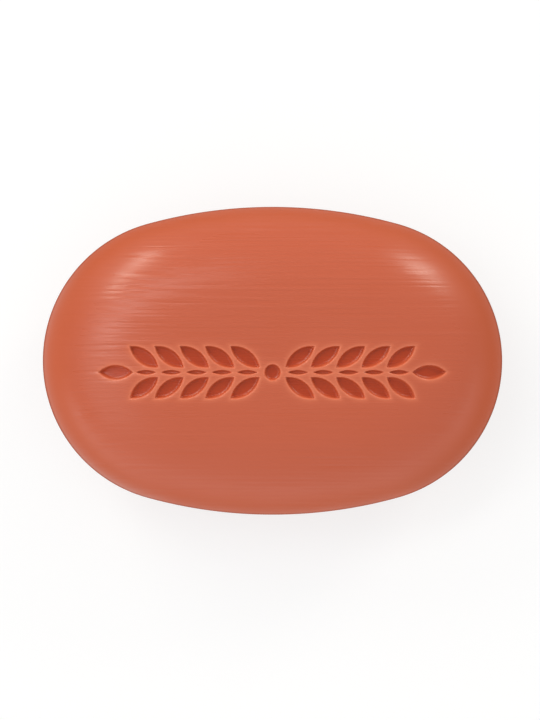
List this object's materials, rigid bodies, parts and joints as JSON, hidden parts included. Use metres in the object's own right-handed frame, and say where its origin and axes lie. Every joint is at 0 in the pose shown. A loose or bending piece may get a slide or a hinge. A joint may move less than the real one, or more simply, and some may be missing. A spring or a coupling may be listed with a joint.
{
  "type": "bar of soap",
  "caption": "Oval pressed bar of soap, domed on both sides, with a leaf garland pressed into its face and a flat land on its back to rest on.",
  "frame": {"origin": "middle of the flat land on the back, which the bar rests on", "axes": "+X along the length, +Y across the width and away from the garland's side of the face, +Z out of the face"},
  "size_m": [0.09, 0.0604, 0.028],
  "materials": {
    "soap": "coral milled soap with a soft satin sheen and fine lengthwise streaks"
  },
  "bodies": {
    "root": {"soap_bar": "soap"}
  },
  "joints": []
}
